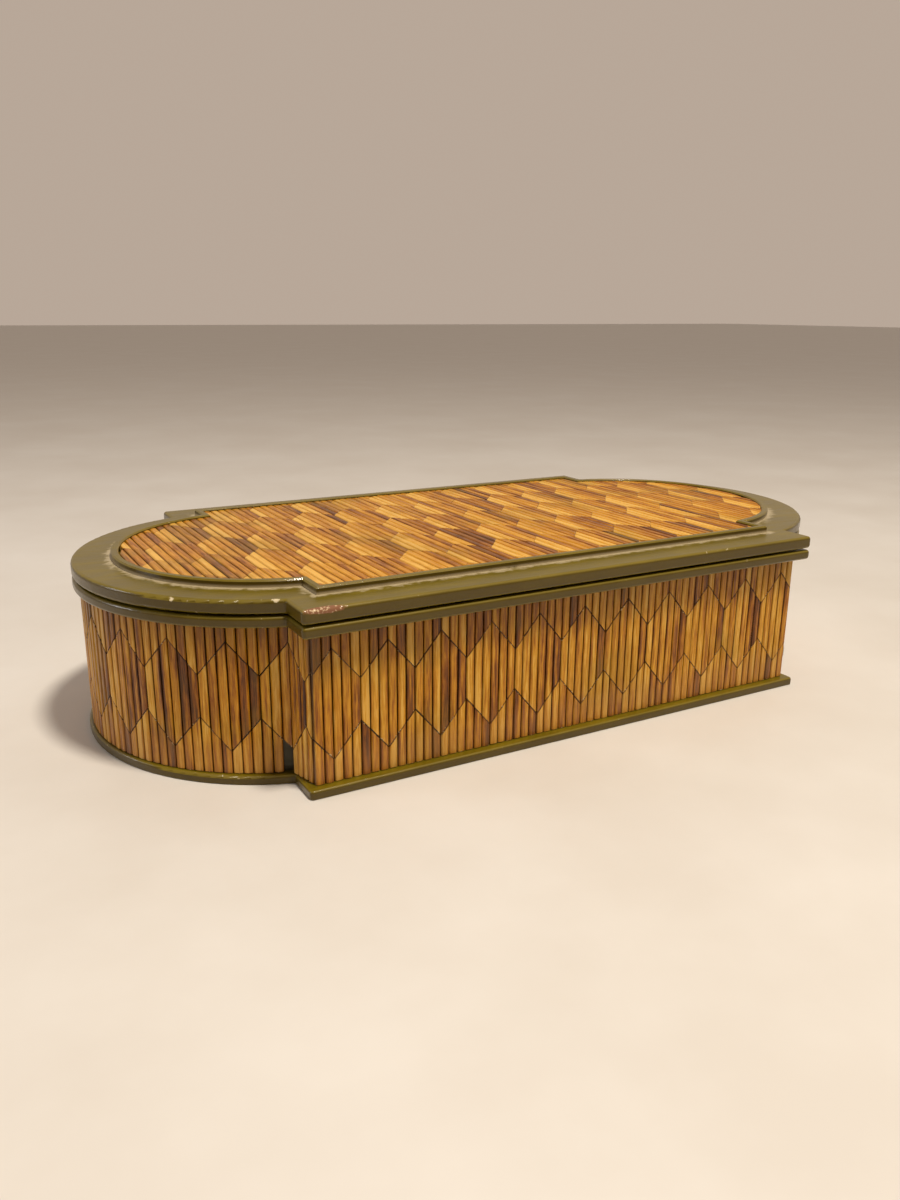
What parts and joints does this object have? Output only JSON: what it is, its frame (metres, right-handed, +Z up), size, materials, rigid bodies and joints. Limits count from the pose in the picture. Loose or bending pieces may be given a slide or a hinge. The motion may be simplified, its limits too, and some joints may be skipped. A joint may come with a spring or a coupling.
{
  "type": "hinged keepsake box",
  "caption": "Low wooden keepsake box with rounded ends stepped in at the corners, clad in split reed hexagons, with a painted hinged lid.",
  "frame": {"origin": "middle of the underside of the base board", "axes": "+Z up; +X to the right along the box's length; the front faces -Y and the hinges are at +Y"},
  "size_m": [0.3066, 0.163, 0.0634],
  "materials": {
    "green_paint": "olive green paint, worn, satin",
    "split_reed": "varnished split reed, golden to dark brown",
    "carcass_wood": "plain oiled wood",
    "brass": "aged brass"
  },
  "bodies": {
    "box": {"base_board": "green_paint", "front_wall": "carcass_wood", "front_reeds": "split_reed", "rim_front_rail": "green_paint", "back_wall": "carcass_wood", "back_reeds": "split_reed", "rim_back_rail": "green_paint", "left_end_wall": "carcass_wood", "left_end_reeds": "split_reed", "rim_left_end": "green_paint", "front_left_step_block": "carcass_wood", "front_left_step_reeds": "split_reed", "back_left_step_block": "carcass_wood", "back_left_step_reeds": "split_reed", "right_end_wall": "carcass_wood", "right_end_reeds": "split_reed", "rim_right_end": "green_paint", "front_right_step_block": "carcass_wood", "front_right_step_reeds": "split_reed", "back_right_step_block": "carcass_wood", "back_right_step_reeds": "split_reed", "left_hinge_pin": "brass", "left_hinge_box_leaf": "brass", "left_hinge_box_screws": "brass", "right_hinge_pin": "brass", "right_hinge_box_leaf": "brass", "right_hinge_box_screws": "brass"},
    "lid": {"lid_board": "green_paint", "lid_reeds": "split_reed", "border_front": "green_paint", "border_front_left_step": "green_paint", "border_front_right_step": "green_paint", "border_back": "green_paint", "border_back_left_step": "green_paint", "border_back_right_step": "green_paint", "border_left_curve": "green_paint", "left_hinge_lid_leaf": "brass", "left_hinge_lid_screws": "brass", "border_right_curve": "green_paint", "right_hinge_lid_leaf": "brass", "right_hinge_lid_screws": "brass"}
  },
  "joints": [
    {"name": "lid_hinge", "type": "hinge", "parent": "box", "child": "lid", "pos_m": [0, 0.0802, 0.05605], "axis": [-1, 0, 0], "range_deg": [0, 100]}
  ]
}
